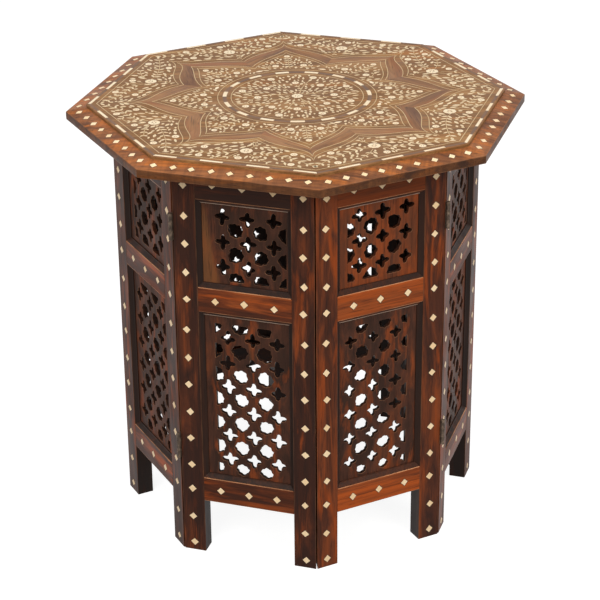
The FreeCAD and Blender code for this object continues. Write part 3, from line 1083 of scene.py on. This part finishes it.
# Room round what is placed. A leaf's is a share of its length and a rim.
FLOWER_ROOM = 1.9
STEM_ROOM = 1.6
LEAF_ROOM = (0.38, 1.0)
FILL_ROOM = (0.36, 0.9)


def leaf(piece, place, centre, angle, length, width):
    """A pointed leaf, a little fuller towards its foot."""
    outline = [swung(share * length, -spread * width, centre, radians(angle))
               for share, spread in LEAF_SHAPE]
    plate(piece, outline, place, INLAY_BOTTOM, BONE_TOP, LEAF_CHAMFER)


def clear_of(point, polygon, margin):
    """Whether a point is inside a polygon and a margin away from its sides."""
    inside = False
    for a, b in zip(polygon, polygon[1:] + polygon[:1]):
        if (a[1] > point[1]) != (b[1] > point[1]):
            if point[0] < (b[0] - a[0]) * (point[1] - a[1]) / (b[1] - a[1]) + a[0]:
                inside = not inside
        side, reach = way(a, b), way(a, point)
        share = max(0.0, min(1.0, reach.dot(side) / max(side.length_squared, 1e-9)))
        if (reach - side * share).length < margin:
            return False
    return inside


class Motif:
    """One field of flowers: what it has placed so far, and where."""

    def __init__(self, pieces, place, polygon, dice):
        self.bones, self.leaves, self.stems = pieces
        self.place, self.polygon, self.dice = place, polygon, dice
        self.taken = []

    def flower(self, x, y, radius, petals=6):
        """A round flower of separate petals about an eye."""
        uniform = self.dice.uniform
        centre = x + uniform(-0.5, 0.5), y + uniform(-0.5, 0.5)
        radius *= uniform(0.95, 1.05)
        start = uniform(0, 360)
        spread = tan(pi / petals) * PETAL_FULLNESS
        outlines = [[swung(reach * radius, share * radius * spread, centre,
                           radians(start + 360 * index / petals)) for reach, share in PETAL_SHAPE]
                    for index in range(petals)]
        outlines.append([swung(*around(EYE_SHARE * radius, pi * step / 5), centre, 0)
                         for step in range(10)])
        for outline in outlines:
            plate(self.bones, outline, self.place, INLAY_BOTTOM, BONE_TOP, PLATE_CHAMFER)
        self.taken.append((centre, radius + FLOWER_ROOM))

    def leaf(self, x, y, angle, length, width):
        length *= self.dice.uniform(0.9, 1.12)
        width *= self.dice.uniform(0.88, 1.12)
        angle += self.dice.uniform(-7, 7)
        leaf(self.leaves, self.place, (x, y), angle, length, width)
        self.taken.append(((x, y), length * LEAF_ROOM[0] + LEAF_ROOM[1]))

    def stem(self, points, pairs=0, first=0.15, last=0.9, length=5.2, width=2.1, spread=42.0):
        """A curved stem, with pairs of leaves from the first share of its length to the last."""
        path = smooth_path(points)
        ribbon(self.stems, path, self.place)
        self.taken += [(point, STEM_ROOM) for point in path[::3]]
        for index in range(pairs):
            share = first + (last - first) * index / (pairs - 1)
            spot = share * (len(path) - 1)
            base = int(spot)
            point = path[base].lerp(path[base + 1], spot - base)
            along = path[base + 1] - path[base]
            for hand in (-1, 1):
                turn = degrees(atan2(along.y, along.x)) + hand * spread
                middle = swung(length * 0.5 + 0.9, 0, point, radians(turn))
                if clear_of(middle, self.polygon, width * 0.5 + 0.5):
                    self.leaf(*middle, turn + hand * 6, length, width)

    def fill(self, spacing, source, length, width, margin=2.2, bend=1.0):
        """Small leaves wherever there is room, pointing away from a source on the ray."""
        uniform = self.dice.uniform
        xs, ys = zip(*self.polygon)
        row_count = int((max(xs) - min(xs)) / (spacing * 0.9)) + 1
        column_count = int((max(ys) - min(ys)) / spacing) + 1
        stray = spacing * 0.3
        for row in range(row_count):
            for column in range(column_count):
                x = min(xs) + row * spacing * 0.9 + uniform(-stray, stray)
                y = min(ys) + (column + 0.5 * (row % 2)) * spacing + uniform(-stray, stray)
                turn = bend * degrees(atan2(y, x - source)) + uniform(-20, 20)
                size = length * uniform(0.75, 1.15)
                ends = [swung(share * (size * 0.5), 0, (x, y), radians(turn)) for share in (-0.8, 0.8)]
                is_inside = all(clear_of(end, self.polygon, margin * 0.6) for end in ends)
                if is_inside and all(dist(end, spot) >= room for end in ends + [(x, y)]
                                     for spot, room in self.taken):
                    leaf(self.leaves, self.place, (x, y), turn, size, width * uniform(0.8, 1.15))
                    self.taken.append(((x, y), size * FILL_ROOM[0] + FILL_ROOM[1]))


SPANDREL_EDGE_HALF = OCTAGON_LINE * CORNER_TAN
OGEE_FROM_SPANDREL = turned(mirror(SPANDREL_LINE), HALF_CORNER)
SPANDREL_FIELD = ([(OCTAGON_LINE, -SPANDREL_EDGE_HALF), (OCTAGON_LINE, SPANDREL_EDGE_HALF)]
                  + OGEE_FROM_SPANDREL + mirror(OGEE_FROM_SPANDREL[::-1])[1:])
SPANDREL_SOURCE = 162.0
PETAL_SOURCE = 78.0
PETAL_FOOT = 93.5
PETAL_FIELD = whole(PETAL_LINE) + [polar(PETAL_FOOT, turn).xy for turn in range(20, -21, -8)]
CENTRE_FIELD = [polar(CIRCLE_LINES[1], 10 * step).xy for step in range(36)]


def spandrel(motif):
    """The field between the star and an octagon side: a great flower with a tree towards one corner."""
    motif.flower(181, 0, 7.2, 8)
    for spot in ((203.5, -2.5, 4.0), (182, -48, 4.1), (207, -46, 4.1), (178, 52, 4.1), (206.5, 58, 4.0)):
        motif.flower(*spot)
    motif.stem([(173, 2), (163, 4), (154, 1)], 2, 0.35, 0.85, 4.0, 1.7)
    motif.stem([(184, 8), (183, 20), (186, 38), (193, 60), (202, 80)], 7, 0.16, 0.92, 7.6, 3.0, 46)
    motif.leaf(204.5, 84.5, 68, 8.5, 3.6)
    motif.stem([(184, -8), (194, -20), (197, -38), (199, -58), (206, -78)], 7, 0.18, 0.94, 7.4, 2.9, 40)
    motif.leaf(208.5, -83, -70, 8.0, 3.2)
    motif.stem([(189, 6), (200, 18), (208, 34)], 3, 0.3, 0.9, 5.6, 2.5)
    motif.stem([(189, -7), (205, -16), (208, -30)], 2, 0.4, 0.9, 5.6, 2.5)
    motif.fill(9.6, SPANDREL_SOURCE, 9.2, 3.7, bend=0.85)
    motif.fill(7.4, SPANDREL_SOURCE, 5.6, 2.9, 1.8, bend=0.85)


def petal(motif):
    """A petal of the inner flower: a stem with leaf pairs, a bud and two flowers at its foot."""
    motif.stem([(98, 0), (112, 0.5), (126, -0.3), (138, 0)], 5, 0.12, 0.86, 6.2, 2.5, 48)
    for spot in ((143, 0, 3.6), (108, 16.5, 4.2), (108, -16.5, 4.2)):
        motif.flower(*spot)
    for hand in (1, -1):
        motif.stem([(98, hand * 26), (108, hand * 25), (118, hand * 20)], 2, 0.3, 0.9, 4.0, 1.7)
    motif.fill(8.4, PETAL_SOURCE, 7.4, 3.3)
    motif.fill(6.8, PETAL_SOURCE, 4.8, 2.7, 1.7)


CENTRE_FLOWERS = ((-26, 61.5), (24.4, 62), (-25.6, -60.6), (23.7, -60), (-45.5, 0), (43, 0), (2, 46.4),
                  (-3.6, -43.3), (-33.3, 29.7), (30.8, 34.9), (-32, -33.7), (31.4, -28.6),
                  (-61.8, 24.4), (60.5, 27.4), (-61.8, -27.3), (60, -22.8))


def medallion(motif):
    """The middle: a flower with four long stems to the first four, and rings of small flowers."""
    motif.flower(0, 0, 7.0, 8)
    for x, y in CENTRE_FLOWERS:
        motif.flower(x, y, 4.3)
    for x, y in CENTRE_FLOWERS[:4]:
        motif.stem([(x * 0.15, y * 0.13), (x * 0.45 - y * 0.03, y * 0.5), (x * 0.9, y * 0.92)])
    for hand in (-1, 1):
        motif.stem([(hand * 8, 3), (hand * 22, 8), (hand * 36, 4)], 2, 0.35, 0.75, 4.2, 1.7)
        motif.stem([(hand * 8, -3), (hand * 22, -9), (hand * 36, -5)], 2, 0.35, 0.75, 4.2, 1.7)
        motif.stem([(hand * 50, 3), (hand * 57, 12), (hand * 61, 20)], 2, 0.2, 0.8, 3.8, 1.6)
        motif.stem([(hand * 50, -3), (hand * 57, -12), (hand * 60, -18)], 2, 0.2, 0.8, 3.8, 1.6)
        motif.stem([(3, hand * 9), (6, hand * 22), (2, hand * 38)], 3, 0.3, 0.8, 4.0, 1.6)
    motif.fill(8.8, 0, 7.4, 3.2, 2.0)
    motif.fill(6.6, 0, 5.2, 2.8, 1.7)


def make_flowers():
    pieces = bones, leaves, stems = Piece(), Piece(), Piece()
    for direction in BETWEEN:
        dice = random.Random("spandrel %s" % direction)
        tree_side = 1 if sin(radians(2 * direction)) > 0 else -1
        spandrel(Motif(pieces, top_place(direction, tree_side), SPANDREL_FIELD, dice))
        leaf(bones, top_place(direction), **LONE_LEAF)
    for direction in RAYS:
        dice = random.Random("petal %s" % direction)
        petal(Motif(pieces, top_place(direction), PETAL_FIELD, dice))
    medallion(Motif(pieces, top_place(0), CENTRE_FIELD, random.Random("medallion")))
    bones.finish("top_bone", "table_top", "bone", INLAY_BONE, sideways)
    leaves.finish("top_leaves", "table_top", "bone", LEAF_BONE, sideways)
    stems.finish("top_stems", "table_top", "bone", THREAD, sideways)


# Diamonds of the border

BORDER_DIAMONDS = 9
BORDER_PITCH = 21.6
BORDER_DIAMOND_HALVES = (4.3, 4.3)


def make_border_diamonds():
    dice = random.Random("border")
    fall = atan2(BORDER_FALL, BORDER_OUTER - FIELD_APOTHEM)

    def spots():
        for direction in BETWEEN:
            out = polar(1, direction)
            beside = UP.cross(out)
            uphill = -out * cos(fall) + UP * sin(fall)
            normal = out * sin(fall) + UP * cos(fall)
            origin = (out * ((BORDER_OUTER + FIELD_APOTHEM) / 2)
                      + UP * (BORDER_INNER_TOP - BORDER_FALL / 2))

            def place(across, up, proud):
                return origin - beside * across + uphill * up + normal * proud
            for index in range(BORDER_DIAMONDS):
                centre = ((index - (BORDER_DIAMONDS - 1) / 2) * BORDER_PITCH + dice.uniform(-0.8, 0.8),
                          dice.uniform(-0.6, 0.6))
                yield place, centre, BORDER_DIAMOND_HALVES
    let_in_diamonds("border", "table_top", level, dice, spots())


make_field()
make_border()
make_lines()
make_star()
make_dashes()
make_flowers()
make_border_diamonds()


# Floor, light and camera

FLOOR_HALF = 12.0
FLOOR_GREY = (0.28, 0.28, 0.28, 1)
FLOOR_GLOW = 0.91
WORLD_LIGHT = 0.34
LAMP_COLOUR = (1.0, 0.98, 0.95)
CAMERA_AZIMUTH = radians(-94.78)
CAMERA_ELEVATION = radians(25.51)
CAMERA_ROLL = radians(-0.53)
CAMERA_DISTANCE = 2.4425
CAMERA_TARGET = Vector((0, 0, 0.2465))
CAMERA_SHIFT = 0.0015
FOCAL_SHARE = 2015.2 / 600
SENSOR_WIDTH = 36.0


def make_floor():
    mesh = bpy.data.meshes.new("floor")
    corners = ((-1, -1), (1, -1), (1, 1), (-1, 1))
    mesh.from_pydata([(x * FLOOR_HALF, y * FLOOR_HALF, 0) for x, y in corners], [], [(0, 1, 2, 3)])
    made = new_shader("floor_paper")
    for key, value in (("Roughness", 0.9), ("Base Color", FLOOR_GREY), ("Specular IOR Level", 0.0)):
        made.surface.inputs[key].default_value = value
    glow = made.add("ShaderNodeEmission", {"Color": (1, 1, 1, 1)},
                    {"Strength": made.maths("MULTIPLY", made.shown(), FLOOR_GLOW)})
    both = made.add("ShaderNodeAddShader", links={0: made.surface.outputs[0], 1: glow.outputs[0]})
    made.links.new(both.outputs[0], made.nodes["Material Output"].inputs["Surface"])
    mesh.materials.append(made.owner)
    floor = linked("floor", mesh)


def make_world():
    """White where the camera sees it, and a plain light on the object."""
    world = bpy.data.worlds.new("studio")
    bpy.context.scene.world = world
    made = Shader(world, "Background")
    made.surface.inputs["Color"].default_value = (1, 1, 1, 1)
    strength = made.add("ShaderNodeMix", {2: WORLD_LIGHT, 3: 1.0}, {0: made.shown()})
    made.links.new(strength.outputs[0], made.surface.inputs["Strength"])


def make_lamp(name, place, target, size, power):
    data = bpy.data.lights.new(name, "AREA")
    data.size = size
    data.energy = power
    data.color = LAMP_COLOUR
    lamp = linked(name, data)
    lamp.location = place
    lamp.rotation_euler = (Vector(target) - Vector(place)).to_track_quat("-Z", "Y").to_euler()


def make_camera():
    data = bpy.data.cameras.new("camera")
    data.sensor_width = SENSOR_WIDTH
    data.lens = FOCAL_SHARE * SENSOR_WIDTH
    data.shift_x = CAMERA_SHIFT
    data.clip_start, data.clip_end = 0.05, 50.0
    camera = linked("camera", data)
    turn = (Matrix.Rotation(CAMERA_AZIMUTH + pi / 2, 4, "Z")
            @ Matrix.Rotation(pi / 2 - CAMERA_ELEVATION, 4, "X") @ Matrix.Rotation(CAMERA_ROLL, 4, "Z"))
    camera.matrix_world = (Matrix.Translation(CAMERA_TARGET) @ turn
                           @ Matrix.Translation((0, 0, CAMERA_DISTANCE)))
    bpy.context.scene.camera = camera


make_floor()
make_world()
make_lamp("overhead", (-0.2, -0.1, 2.4), (0, 0, 0.3), 2.2, 18.0)
make_lamp("front_left", (-1.3, -2.1, 1.85), (0, 0, 0.25), 1.2, 36.0)
make_lamp("front_right", (1.5, -2.1, 1.85), (0, 0, 0.25), 1.2, 37.0)
make_camera()
bpy.context.scene.view_settings.view_transform = "Standard"
